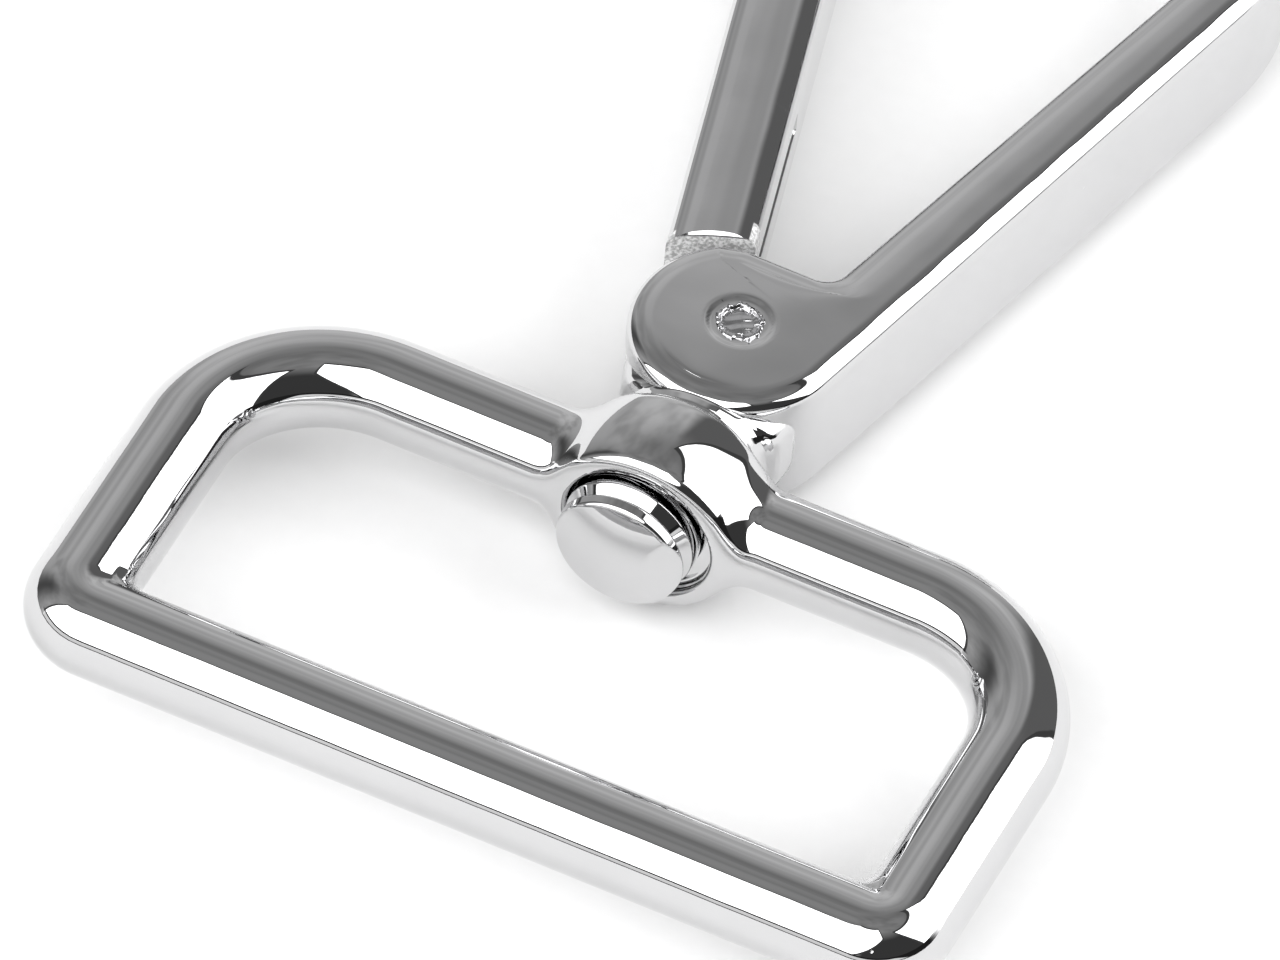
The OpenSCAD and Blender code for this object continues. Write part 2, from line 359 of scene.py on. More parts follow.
def loop_field(x, y, z):
    """Below zero inside the loop. The bar is every point within its radius of a rectangle's outline,
    whose inner corners are filled. The collar is a crowned drum round the swivel axis with rounded
    rims, blended into the bar and cut flat in line with its two ends."""
    middle = SWIVEL_Y / 2
    r = np.where(y > middle, WIDE_R, TIGHT_R)
    qx = np.abs(x) - (HALF_X - r)
    qy = np.abs(y - middle) - (middle - r)
    outside = np.hypot(np.maximum(qx, 0), np.maximum(qy, 0))
    plan = outside + np.minimum(smooth_max(qx, qy, CORNER_FILLET), 0) - r
    bar = np.hypot(plan, z) - BAR_R
    v = y - SWIVEL_Y
    mid_v = (COLLAR_FRONT + COLLAR_BACK) / 2
    half_v = (COLLAR_BACK - COLLAR_FRONT) / 2
    edge = np.where(v < mid_v, COLLAR_FRONT_EDGE, COLLAR_BACK_EDGE)
    across = np.hypot(x, z) - (COLLAR_R - COLLAR_CROWN * (v - mid_v) ** 2) + edge
    along = np.abs(v - mid_v) - half_v + edge
    drum = np.hypot(np.maximum(across, 0), np.maximum(along, 0)) - edge
    drum += np.minimum(np.maximum(across, along), 0)
    blended = smooth_min(bar, drum, COLLAR_BLEND)
    trimmed = smooth_max(blended, np.abs(v - mid_v) - half_v, COLLAR_TRIM)
    return np.where((np.abs(x) < COLLAR_ZONE[0]) & (np.abs(v) < COLLAR_ZONE[1]), trimmed, bar)


def loop_sections():
    """Centre points round the bar's middle line, and at each the direction in plan that its section
    plane points outwards. Round a corner the planes fan about a point on the corner's inner side, so
    they never cross."""
    centres, outward = [], []
    corners = [(1, 0, TIGHT_R, 270), (1, 1, WIDE_R, 0), (-1, 1, WIDE_R, 90), (-1, 0, TIGHT_R, 180)]
    ends = []
    for (side, far, r, start), step in zip(corners, CORNER_STEPS):
        zone = max(r, FAN_R)
        hub = np.array([side * (HALF_X - zone), SWIVEL_Y - zone if far else zone])
        bend = np.array([side * (HALF_X - r), SWIVEL_Y - r if far else r])
        first, last = polar(zone, start, hub), polar(zone, start + 90, hub)
        arc_first, arc_last = polar(r, start, bend), polar(r, start + 90, bend)
        path = [arc(bend, r, start, start + 90, step)]
        if zone > r:
            path = [segment(first, arc_first, step)] + path + [segment(arc_last, last, step)]
        path = np.concatenate(path)
        ends.append((path, hub, first, last))
    for k, (path, hub, first, last) in enumerate(ends):
        out = path - hub
        centres.append(path)
        outward.append(out / np.linalg.norm(out, axis=1, keepdims=True))
        following = ends[(k + 1) % 4][2]
        run = segment(last, following, RUN_STEPS[k])
        direction = (following - last) / np.linalg.norm(following - last)
        centres.append(run)
        outward.append(np.repeat(np.array([[direction[1], -direction[0]]]), len(run), 0))
    return np.concatenate(centres), np.concatenate(outward)


def section_angles(count):
    """Angles round a section, from the outward direction, spaced evenly along the collar's oblong end
    view, so that its flat front and its tall sides get as many points as its back."""
    oblong = rounded([
        (COLLAR_BACK, 0), (COLLAR_BACK, COLLAR_R), (COLLAR_FRONT, COLLAR_R),
        (COLLAR_FRONT, -COLLAR_R), (COLLAR_BACK, -COLLAR_R), (COLLAR_BACK, 0),
    ], [1, 1, 1, 1], 0.1)
    even = resample(oblong, count + 1)[:-1]
    return np.unwrap(np.arctan2(even[:, 1], even[:, 0]))


def counterbore():
    """What the collar is bored with: a recess with a rolled lip in its front, then the stud's bore to
    its back."""
    wide, bore = RECESS_R + RECESS_LIP, STUD_R + RUN_GAP
    front, mouth, floor = COLLAR_FRONT - 1, COLLAR_FRONT + 0.01, COLLAR_FRONT + RECESS_DEPTH
    profile = rounded([
        (0, front), (wide, front), (wide, mouth), (RECESS_R, mouth), (RECESS_R, floor), (bore, floor),
        (bore, BEYOND), (0, BEYOND),
    ], [0.3, 0.01, 0.48, 0.15, 0.1, 0.3], 0.05)
    return lathe(profile, 192, (0, SWIVEL_Y, 0), "y")


def strap_loop_mesh():
    """The loop's surface on a grid of section and angle: along each ray in a section plane, the
    distance at which the loop's field is zero, found by halving."""
    centres, outward = loop_sections()
    a = section_angles(SECTION_POINTS)
    away = np.cos(a)[None, :, None] * outward[:, None, :]
    rise = np.broadcast_to(np.sin(a)[None, :], away.shape[:2])
    near = np.zeros(away.shape[:2])
    far = np.full(away.shape[:2], BEYOND)
    for _ in range(HALVINGS):
        half = (near + far) / 2
        xy = centres[:, None, :] + half[..., None] * away
        inside = loop_field(xy[..., 0], xy[..., 1], half * rise) < 0
        near, far = np.where(inside, half, near), np.where(inside, far, half)
    xy = centres[:, None, :] + near[..., None] * away
    points = np.concatenate([xy, (near * rise)[..., None]], -1)
    mesh = closed_mesh("strap_loop_skin", [(points, grid_faces(*points.shape[:2], True, True))])
    return combine(mesh, closed_mesh("counterbore", [counterbore()]), "DIFFERENCE")


# ---------- swivel stud ----------

def stud_mesh():
    """Turned about the swivel axis: a domed face, a rounded rim, a step down to a second ring, then the
    shank. Past one slanted plane on the right the head is pressed flat against that plane. The head
    sits a little to one side."""
    r = np.linspace(0, HEAD_R - DOME_EDGE, 26)
    dome = np.stack([r, DOME_R - np.sqrt(DOME_R ** 2 - r ** 2)], 1)
    face_r = HEAD_R - 0.06
    ring = rounded([
        dome[-1], (face_r - 0.1, dome[-1, 1] + 0.1), (face_r, GROOVE_FROM),
        (HEAD_R - FLANGE_BEVEL, GROOVE_TO), (HEAD_R, FLANGE_FROM), (HEAD_R, FLANGE_TO),
        (HEAD_R - 0.3, HEAD_LEN), (STUD_R, HEAD_LEN), (STUD_R, STUD_END - HEAD_FRONT),
        (0, STUD_END - HEAD_FRONT),
    ], [0.16, 0.14, 0.06, 0.14, 0.15, 0.1, 0.15, 0.15], 0.05)
    points, faces = lathe(
        np.concatenate([dome[:-1], ring]), 220, (0, SWIVEL_Y + HEAD_FRONT, 0), "y")
    away = np.array([math.sin(FACET_TURN), -math.cos(FACET_TURN), 0.0])
    on_plane = np.array([FACET_X, SWIVEL_Y + HEAD_FRONT + 0.08, 0.0])
    in_head = np.clip((HEAD_FRONT + HEAD_LEN - (points[..., 1] - SWIVEL_Y)) / 0.05, 0, 1)
    points[..., 0] += HEAD_SHIFT * in_head
    beyond = smooth_max((points - on_plane) @ away, 0.0, 0.02)
    points = points - beyond[..., None] * away
    return closed_mesh("swivel_stud_skin", [(points, faces)])


# ---------- plates: flat bars and bosses with rounded edges ----------

def edge_profile(edge, shoulder, half):
    """The rounded rim above a wall: for each outline point, how far in and how high its points lie. A
    circle of radius edge turns from upright to the rim's slope, then a parabola as wide as the shoulder
    eases to the lid's slope."""
    end = np.pi / 2 - math.atan(RIM_SLOPE)
    b = np.linspace(0, end, 9)[None]
    t = np.linspace(0, 1, 7)[None, 1:]
    lid_z = half - CROWN_MAX * half / HALF_T
    turn_z = lid_z - shoulder * (RIM_SLOPE + LID_SLOPE) / 2
    turn_in = edge * (1 - math.cos(end))
    inset = np.concatenate([edge * (1 - np.cos(b)), turn_in + shoulder * t], 1)
    ease = shoulder * (RIM_SLOPE * t - (RIM_SLOPE - LID_SLOPE) * t * t / 2)
    z = np.concatenate([turn_z - edge * (math.sin(end) - np.sin(b)), turn_z + ease], 1)
    return inset, z


def groove_profile(mouth, top_z, slot, lip):
    """A cut into a wall: over a rounded lip, in along a level roof, down a back wall and out again.
    Returns how far along the cut each point lies, and its height."""
    depth = np.linalg.norm(mouth, axis=1)[:, None]
    small = np.minimum(lip, depth * 0.45)
    q = np.linspace(0, np.pi / 2, 5)[None]
    reach = small + (depth - small) * np.linspace(0, 1, 7)[None, 1:]
    roof_in = np.concatenate([small * (1 - np.cos(q)), reach], 1)
    roof_z = np.concatenate([slot + small - small * np.sin(q), np.full(reach.shape, slot)], 1)
    back_z = np.repeat(np.linspace(-1, 1, 7)[None, 1:-1] * slot, len(depth), 0)
    wall_z = (top_z + slot + small) / 2
    none = np.zeros((len(depth), 1))
    along = np.concatenate([none, roof_in, np.repeat(depth, 5, 1), roof_in[:, ::-1], none], 1)
    return along, np.concatenate([-wall_z, -roof_z, back_z, roof_z[:, ::-1], wall_z], 1)


def plate(left, right, half, edge, shoulder, mouth=None, slot=0.0, lip=0.3, columns=41):
    """A flat piece between two outlines that run from one end to the other on its left and its right.

    Round the joined outline, a profile goes over the lower rim, up the wall and over the upper rim.
    mouth gives, for each outline point, how far the wall is cut in (a vector) over the middle height of
    +-slot. Each face is a grid of chords from left to right, which bulges by a parabola."""
    outline = np.concatenate([right[:-1], left[:0:-1]])
    count = len(outline)
    along = np.roll(outline, -1, 0) - np.roll(outline, 1, 0)
    along /= np.linalg.norm(along, axis=1, keepdims=True)
    inward = np.stack([-along[:, 1], along[:, 0]], 1)[:, None]
    edge, shoulder = (np.broadcast_to(k, count)[:, None] for k in (edge, shoulder))
    rim_in, rim_z = edge_profile(edge, shoulder, half)
    if mouth is None:
        wall_z = rim_z[:, :1] * np.linspace(-1, 1, 9)[None, 1:-1]
        wall_xy = np.repeat(outline[:, None], 7, 1)
    else:
        cut_in, wall_z = groove_profile(mouth, rim_z[:, :1], slot, lip)
        cut = mouth / np.maximum(np.linalg.norm(mouth, axis=1, keepdims=True), 1e-9)
        wall_xy = outline[:, None] + cut_in[..., None] * cut[:, None]
    rim_xy = outline[:, None] + rim_in[..., None] * inward
    xy = np.concatenate([rim_xy[:, ::-1], wall_xy, rim_xy], 1)
    z = np.concatenate([-rim_z[:, ::-1], wall_z, rim_z], 1)
    wall = np.concatenate([xy, z[..., None]], -1)
    parts = [(wall, grid_faces(*wall.shape[:2], close_rows=True))]
    n = len(right)
    to_right = np.arange(n)
    to_left = np.concatenate([[0], np.arange(count - 1, n - 1, -1), [n - 1]])
    w = np.linspace(-1, 1, columns)[None, :, None]
    w = 0.35 * np.sin(w * np.pi / 2) + 0.65 * w
    room = CROWN_MAX * half / HALF_T
    for side, column in ((1, -1), (-1, 0)):
        a, c = wall[to_left, column], wall[to_right, column]
        lid = (a[:, None] * (1 - w) + c[:, None] * (1 + w)) / 2
        width = np.linalg.norm(a - c, axis=1)[:, None]
        lid[..., 2] += side * room * np.tanh(LID_SLOPE * width / 4 / room) * (1 - w[..., 0] ** 2)
        parts.append((lid, grid_faces(*lid.shape[:2])))
    return parts


# ---------- hook body ----------

def hook_outlines():
    """The hook's left and right outlines in plan, from the boss's near side to the nose's tip, measured
    from the swivel bar. The right one goes round the boss, up the arm's outer side and round the bow.
    The left one goes round the boss's other side, along its flat top, up the arm's inner side, round
    the inside of the bow and down the nose's end to the lip."""
    start, fine, coarse = -97.0, 0.2, 0.8
    tilt = math.degrees(LEAN)
    foot, top = ARM_W / 2, BOW_W / 2
    # the boss, its flat top and the notch where the arm's inner side leaves it
    flat_y = PIVOT_V[1] + BOSS_TOP
    flat_angle = 180 - math.degrees(math.asin(BOSS_TOP / BOSS_R))
    inner_foot, inner_top = arm_point(0, -foot), arm_point(ARM_REACH, -top)
    slope = (inner_top - inner_foot) / (inner_top - inner_foot)[1]
    notch = inner_foot + (flat_y - inner_foot[1]) * slope
    past = notch + 2.2 * slope
    bend = flat_angle + 7
    turn_off = polar(BOSS_R, flat_angle, PIVOT_V) + np.array([0.75, 0.02])
    left_boss = np.concatenate([
        arc(PIVOT_V, BOSS_R, start, bend - 360, fine),
        rounded([polar(BOSS_R, bend, PIVOT_V), turn_off, notch, past], [3.0, 1.1], fine)])
    right_past = arm_point(float((past - ARM_FOOT) @ ARM_ALONG), foot * 0.98)
    right_boss = np.concatenate([
        arc(PIVOT_V, BOSS_R, start, -tilt, fine), segment(arm_point(0, foot), right_past, fine),
        right_past[None]])
    # the arm, and the bow to just short of the nose's end
    left_arm = segment(past, inner_top, coarse)
    right_arm = segment(right_past, arm_point(ARM_REACH, top), coarse)
    stop = 180 + tilt - 1
    left_bow = arc(BOW_C, BOW_R - top, -tilt, stop, 0.45)
    right_bow = arc(BOW_C, BOW_R + top, -tilt, stop, 0.45)
    # the nose with its outer lip
    edge_in, edge_out = GATE_OFFSET - top, GATE_OFFSET + top
    lip_in, lip_end = edge_out - LIP_W, GATE_REACH - LIP_LEN
    tip = gate_point(lip_end, edge_out - LIP_W / 2)
    left_nose = rounded([
        polar(BOW_R - top, stop, BOW_C), gate_point(GATE_REACH, edge_in), gate_point(GATE_REACH, lip_in),
        gate_point(lip_end, lip_in), tip], [0.1, 0.3, 0.55], 0.15)
    right_nose = rounded([
        polar(BOW_R + top, stop, BOW_C), gate_point(GATE_REACH, edge_out), gate_point(lip_end, edge_out),
        tip], [0.6, 0.55], 0.15)
    left, right = [], []
    for l, r, count in (
            (left_boss, right_boss, 120), (left_arm, right_arm, max(len(left_arm), len(right_arm))),
            (left_bow, right_bow, len(right_bow)), (left_nose, right_nose, 26)):
        left.append(resample(l, count)[:-1])
        right.append(resample(r, count)[:-1])
    return np.concatenate([*left, tip[None]]), np.concatenate([*right, tip[None]])


def clevis_mouth(outline):
    """How far the boss's wall is cut in at each outline point, so that the two ears stand apart: over
    the side that faces the gate, to the far side of the room that the gate's tongue turns in."""
    d = outline - PIVOT_V
    angle = np.degrees(np.arctan2(d[:, 1], d[:, 0])) % 360
    on_boss = (np.linalg.norm(d, axis=1) < BOSS_R + 0.05) & (d @ ARM_OUT < SLOT_SIDE)
    index = np.where(on_boss & (angle < MOUTH_ANGLE) & (angle > 60))[0]
    length = np.concatenate([[0], np.cumsum(np.linalg.norm(np.diff(outline[index], axis=0), axis=1))])
    share = length / length[-1]
    rise = math.sqrt(SLOT_R ** 2 - SLOT_SIDE ** 2)
    meet = PIVOT_V + SLOT_SIDE * ARM_OUT + rise * ARM_ALONG
    meet_angle = math.degrees(math.atan2(*(meet - PIVOT_V)[::-1]))
    wall = resample(np.concatenate([
        segment(outline[index[0]], meet, 0.1),
        arc(PIVOT_V, SLOT_R, meet_angle, MOUTH_ANGLE - 360, 0.1),
        segment(polar(SLOT_R, MOUTH_ANGLE, PIVOT_V), outline[index[-1]], 0.1),
        outline[index[-1]][None]]), 400)
    target = np.stack([np.interp(share, np.linspace(0, 1, 400), wall[:, k]) for k in (0, 1)], 1)
    mouth = np.zeros_like(outline)
    mouth[index] = target - outline[index]
    return mouth


# the neck's sections: distance from the shoulder, half width, half height, squareness and sideways shift
NECK = np.array([
    (0.0, 3.45, 3.45, 2.0, 0.0),
    (0.12, 3.7, 3.7, 2.0, 0.0),
    (0.35, 3.8, 3.8, 2.0, 0.0),
    (0.8, 3.8, 3.78, 2.1, 0.0),
    (1.1, 3.88, 3.6, 2.3, 0.0),
    (1.3, 4.05, 3.4, 2.6, -0.05),
    (1.5, 4.25, 3.2, 3.0, -0.1),
    (1.8, 4.42, 3.0, 3.5, -0.15),
    (2.3, 4.55, 2.85, 4.0, -0.22),
    (3.0, 4.7, 2.75, 4.5, -0.3),
    (4.0, 4.75, 2.6, 5.0, -0.35),
    (5.5, 4.5, 2.5, 5.0, -0.4),
])


def neck():
    """From the round shoulder that bears on the collar to inside the boss: a superellipse carried along
    the swivel axis, whose half width, half height and squareness change from a disc to a broad flat
    bar."""
    at = np.linspace(0, len(NECK) - 1, 60)
    v, wide, tall, square, shift = (np.interp(at, np.arange(len(NECK)), k)[:, None] for k in NECK.T)
    v = v + SHOULDER_Y + SWIVEL_Y
    a = np.linspace(0, 2 * np.pi, 140, endpoint=False)[None]
    c, s = np.cos(a), np.sin(a)
    radius = (np.abs(c / wide) ** square + np.abs(s / tall) ** square) ** (-1 / square)
    points = np.stack(np.broadcast_arrays(radius * c + shift, v, radius * s), -1)
    ends = np.stack(np.broadcast_arrays(shift, v, np.zeros_like(radius)), -1)
    points = np.concatenate([ends[:1], points, ends[-1:]])
    return points, grid_faces(*points.shape[:2], close_cols=True)


def seat(points):
    """Dishes the two faces round the rivet: full depth out to the rivet's rim, easing out to the seat's
    radius."""
    d = points[..., :2] - PIVOT
    radius = np.linalg.norm(d, axis=-1)
    t = np.clip((SEAT_R + 0.1 - radius) / 0.45, 0, 1)
    dip = SEAT_DIP * t * t * (3 - 2 * t)
    points[..., 2] -= np.sign(points[..., 2]) * np.where(np.abs(points[..., 2]) > HALF_T - 0.9, dip, 0)
    return points


def hook_mesh():
    """The boss, arm, bow and nose as one plate with the clevis cut in its wall, joined to the neck,
    then bored for the stud and the rivet."""
    left, right = hook_outlines()
    outline = np.concatenate([right[:-1], left[:0:-1]])
    to_tip = np.linalg.norm(outline - left[-1], axis=1)
    grow = np.clip((to_tip - 3.2) / 3.0, 0, 1)
    edge = 0.3 + (EDGE_R - 0.3) * grow
    parts = plate(left, right, HALF_T, edge, 0.1 + 0.68 * grow, clevis_mouth(outline), SLOT_HALF, 0.3, 61)
    mesh = closed_mesh("hook", [(seat(points), faces) for points, faces in lifted(parts)])
    mesh = combine(mesh, closed_mesh("neck", [neck()]), "UNION")
    bore = [(0, SHOULDER_Y - 1), (STUD_R, SHOULDER_Y - 1), (STUD_R, STUD_END), (0, STUD_END)]
    mesh = combine(mesh, closed_mesh("bore", [lathe(bore, 96, (0, SWIVEL_Y, 0), "y")]), "DIFFERENCE")
    hole = [(0, -BEYOND), (RIVET_R, -BEYOND), (RIVET_R, BEYOND), (0, BEYOND)]
    return combine(mesh, closed_mesh("hole", [lathe(hole, 64, (*PIVOT, 0), "z")]), "DIFFERENCE")


# ---------- gate ----------

def gate_outlines():
    """The gate bar's left and right outlines, from the middle of its lower end, which is longer than
    the finished bar, to the middle of its tip, whose outer side is cut back under the nose's lip."""
    inner, outer = GATE_OFFSET - GATE_W / 2, GATE_OFFSET + GATE_W / 2
    low, high = GATE_START - END_SPARE, GATE_REACH - TIP_GAP
    step_u = GATE_REACH - LIP_LEN - LIP_GAP
    step_w = GATE_OFFSET + BOW_W / 2 - LIP_W - LIP_GAP
    start = gate_point(low, GATE_OFFSET)
    tip = gate_point(high, (inner + step_w) / 2)
    right = rounded([start, gate_point(low, inner), gate_point(high, inner), tip], [0.3, 0.4], 0.4)
    left = rounded([
        start, gate_point(low, outer), gate_point(step_u, outer), gate_point(step_u, step_w),
        gate_point(high, step_w), tip], [0.3, 0.5, 0.3, 0.4], 0.4)
    return resample(left, 210), resample(right, 210)


def gate_end():
    """What the gate's lower end is cut with: an upright wall on a wide arc, and a narrow chamfer under
    each face."""
    centre = PIVOT + END_ALONG * GATE_ALONG + END_OUT * GATE_OUT
    low = GATE_HALF - END_DROP - END_CHAMFER * END_SLOPE
    spread = 5.0
    far, top = END_R + spread, low + spread * END_SLOPE
    profile = [
        (0, -BEYOND), (far, -BEYOND), (far, -top), (END_R, -low), (END_R, low), (far, top), (far, BEYOND),
        (0, BEYOND)]
    return closed_mesh("gate_end", [lathe(profile, 512, (*centre, 0), "z")])


def prism(name, outline, half):
    """A closed upright prism on a convex outline, drawn from the rivet's axis, from -half to half. It
    is made as rings from pole to pole."""
    outline = np.asarray(outline, float)
    middle = outline.mean(axis=0, keepdims=True).repeat(len(outline), 0)
    rings = [(middle, -half), (outline, -half), (outline, half), (middle, half)]
    points = np.stack([np.column_stack([xy, np.full(len(xy), z)]) for xy, z in rings])
    points = points + np.array([*PIVOT, 0])
    return closed_mesh(name, [(points, grid_faces(4, len(outline), close_cols=True))])


def spring_room():
    """What the tongue is hollowed with: a pocket for the coil, the rivet's bore, a window for the fixed
    leg and a groove for the moving leg."""
    inner = (GATE_OFFSET - GATE_W / 2) * GATE_OUT
    side, far = GROOVE_DEPTH * GATE_OUT, BEYOND * GATE_ALONG
    bore = RIVET_R + RUN_GAP
    pocket = [(0, -POCKET_HALF), (POCKET_R, -POCKET_HALF), (POCKET_R, POCKET_HALF), (0, POCKET_HALF)]
    through = [(0, -BEYOND), (bore, -BEYOND), (bore, BEYOND), (0, BEYOND)]
    window = [(0, 0), polar(6, -40), polar(8, 0), polar(6, 60)]
    groove = [inner - side, inner + side, inner + side + far, inner - side + far]
    return [
        closed_mesh("pocket", [lathe(pocket, 128, (*PIVOT, 0), "z")]),
        closed_mesh("bore", [lathe(through, 96, (*PIVOT, 0), "z")]),
        prism("window", window, GROOVE_HALF),
        prism("groove", groove, GROOVE_HALF),
    ]


def tongue():
    """The tongue between the ears: a disc about the rivet with a heel, carried into the gate's bar."""
    inner, outer = GATE_OFFSET - GATE_W / 2 + 0.3, GATE_OFFSET + GATE_W / 2 - 0.35
    root = GATE_START + 1.2
    tip = gate_point(root, GATE_OFFSET)
    right = np.concatenate([arc(PIVOT_V, TONGUE_R, -60, 62, 0.2), rounded([
        polar(TONGUE_R, 62, PIVOT_V), gate_point(4.6, inner - 0.2), gate_point(root, inner), tip,
    ], [0.8, 0.3], 0.2)])
    left = np.concatenate([arc(PIVOT_V, TONGUE_R, -60, -125, 0.2), rounded([
        polar(TONGUE_R, 235, PIVOT_V), polar(HEEL_R, 222, PIVOT_V), polar(HEEL_R + 0.3, 190, PIVOT_V),
        gate_point(3.6, outer), gate_point(root, outer), tip,
    ], [0.5, 2.0, 1.2, 0.8, 0.3], 0.2)])
    return plate(resample(left, 90), resample(right, 90), TONGUE_HALF, 0.25, 0.1)


def gate_mesh():
    """The gate's bar, with the spring leg's groove in its inner wall, joined to the tongue between the
    ears, then hollowed for the coil and bored for the rivet."""
    left, right = gate_outlines()
    outline = np.concatenate([right[:-1], left[:0:-1]])
    d = outline - PIVOT_V
    u, w = d @ GATE_ALONG, d @ GATE_OUT
    low = GATE_START - END_SPARE
    on_side = (w < GATE_OFFSET - GATE_W / 2 + 0.02) & (u > low + 0.5)
    depth = GROOVE_DEPTH * np.clip((LEG_LEN + 0.9 - u) / 1.2, 0, 1) * on_side
    grow = np.clip((np.minimum(u - low + 0.6, GATE_REACH - u) - 1.2) / 1.2, 0, 1)
    bar = closed_mesh("bar", lifted(plate(
        left, right, GATE_HALF, 0.4 + 0.3 * grow, 0.15 + 0.65 * grow,
        depth[:, None] * GATE_OUT, GROOVE_HALF, 0.15)))
    bar = combine(bar, gate_end(), "DIFFERENCE")
    bar = combine(bar, closed_mesh("tongue", lifted(tongue())), "UNION")
    for room in spring_room():
        bar = combine(bar, room, "DIFFERENCE")
    return bar


# ---------- rivet ----------

def rivet_mesh():
    """A plain flat head below and, above, a hollow end rolled outwards: a ring of uneven height and
    width round a rough sunken plug. The unevenness is a sum of sine waves round the ring, split by a
    few notches."""
    top = HALF_T - CROWN_MAX * 0.4 + 0.05
    seat_z = HALF_T - SEAT_DIP - 0.06
    head_r = SEAT_R - 0.3
    under = rounded([
        (0, -top), (head_r, -top), (head_r, -seat_z), (RIVET_R, -seat_z), (RIVET_R, seat_z - 0.1),
    ], [0.15, 0.05, 0.05], 0.06)
    ring = rounded([
        (RIVET_R, seat_z - 0.1), (1.24, seat_z), (1.22, top), (1.04, top + 0.02), (0.92, top - 0.16),
        (0.75, top - 0.2), (0, top - 0.15),
    ], [0.05, 0.08, 0.08, 0.06, 0.08], 0.02)
    profile = np.concatenate([under, ring[1:]])
    points, faces = lathe(profile, 240, (0, 0, 0), "z")
    a = np.arctan2(points[..., 1], points[..., 0])
    radius = np.hypot(points[..., 0], points[..., 1])
    waves = [(2, 0.4, 0.02), (5, 2.1, 0.022), (9, 0.9, 0.02), (16, 4.0, 0.014), (27, 1.3, 0.008)]
    uneven = sum(size * np.sin(k * a + shift + 2 * radius) for k, shift, size in waves)
    upper = points[..., 2] > seat_z - 0.05
    on_ring = upper * np.clip((radius - 0.7) / 0.25, 0, 1) * np.clip((1.35 - radius) / 0.05, 0, 1)
    notch = sum(np.exp(-((np.angle(np.exp(1j * (a - at)))) / 0.06) ** 2) for at in RIM_SPLITS)
    points[..., :2] *= (1 + on_ring * uneven)[..., None]
    points[..., 2] += on_ring * (uneven * 1.1 - 0.13 * notch - 0.02)
    x, y = points[..., 0], points[..., 1]
    rough = 0.02 * np.sin(5 * x + 2 * y + 1) + 0.014 * np.sin(9 * y - 6 * x)
    rough += 0.03 * np.abs(np.sin(2.5 * x - 3 * y))
    points[..., 2] += upper * np.clip((0.85 - radius) / 0.15, 0, 1) * rough
    return closed_mesh("gate_rivet_skin", [(points + np.array([*PIVOT, 0]), faces)])


# ---------- spring ----------

def spring_mesh():
    """Round wire carried along one path: a leg against the clevis's web, two turns of a helix round the
    rivet, and a leg along the gate's groove."""
    leg_w = GATE_OFFSET - GATE_W / 2 + LEG_INSET
    pitch = WIRE_D * 1.05
    first = math.radians(FIXED_ANGLE)
    leave = math.sqrt(COIL_R ** 2 - leg_w ** 2) * GATE_ALONG + leg_w * GATE_OUT
    turns = 2 * math.pi + math.atan2(leave[1], leave[0]) - first
    a = np.linspace(first, first + turns, 120)
    rise = pitch * ((a - first) / turns - 0.5)
    helix = np.stack([COIL_R * np.cos(a), COIL_R * np.sin(a), rise], 1)
    fixed = np.array([*polar(SLOT_R - 0.15, FIXED_ANGLE), rise[0]])
    moving = np.array([*(LEG_LEN * GATE_ALONG + leg_w * GATE_OUT), 0.0])
    path = np.concatenate([
        segment(fixed, helix[0], 0.3)[:-1], helix, segment(helix[-1], moving, 0.3)[2:], moving[None]])
    path = path + np.array([*PIVOT, 0])
    along = np.gradient(path, axis=0)
    along /= np.linalg.norm(along, axis=1, keepdims=True)
    side = np.cross(along, [0, 0, 1.0])
    side /= np.linalg.norm(side, axis=1, keepdims=True)
    over = np.cross(side, along)
    round_wire = 20
    a = np.linspace(0, 2 * np.pi, round_wire, endpoint=False)[None, :, None]
    points = path[:, None] + WIRE_D / 2 * (np.cos(a) * side[:, None] + np.sin(a) * over[:, None])
    ends = np.repeat(path[:, None], round_wire, 1)
    points = np.concatenate([ends[:1], points, ends[-1:]])
    return closed_mesh("gate_spring_skin", [(points, grid_faces(*points.shape[:2], close_cols=True))])


# ---------- shader building ----------

def new_material(name):
    """A new material; returns it with its node tree and its Principled BSDF."""
    material = bpy.data.materials.new(name)
    material.use_nodes = True
    tree = material.node_tree
    return material, tree, tree.nodes["Principled BSDF"]


def node(tree, kind, inputs=(), **settings):
    """A node of a kind, with its settings, and its inputs set to a value or linked to a socket."""
    made = tree.nodes.new(kind)
    for key, value in settings.items():
        setattr(made, key, value)
    for key, value in dict(inputs).items():
        if isinstance(value, bpy.types.NodeSocket):
            tree.links.new(value, made.inputs[key])
        else:
            made.inputs[key].default_value = value
    return made


def math_node(tree, operation, a, b=0.0, c=0.0):
    """The result of one arithmetic step on sockets or numbers."""
    return node(tree, "ShaderNodeMath", {0: a, 1: b, 2: c}, operation=operation).outputs[0]


def ramp(tree, value, start, end, low=0.0, high=1.0):
    """low up to start, high from end, and a smooth change between them."""
    inputs = {"Value": value, "From Min": start, "From Max": end, "To Min": low, "To Max": high}
    return node(tree, "ShaderNodeMapRange", inputs, interpolation_type="SMOOTHSTEP").outputs["Result"]


def noise(tree, vector, scale, detail, roughness=0.5):
    """A noise pattern's value, from 0 to 1, with scale cells to the metre."""
    inputs = {"Vector": vector, "Scale": scale, "Detail": detail, "Roughness": roughness}
    return node(tree, "ShaderNodeTexNoise", inputs).outputs["Fac"]


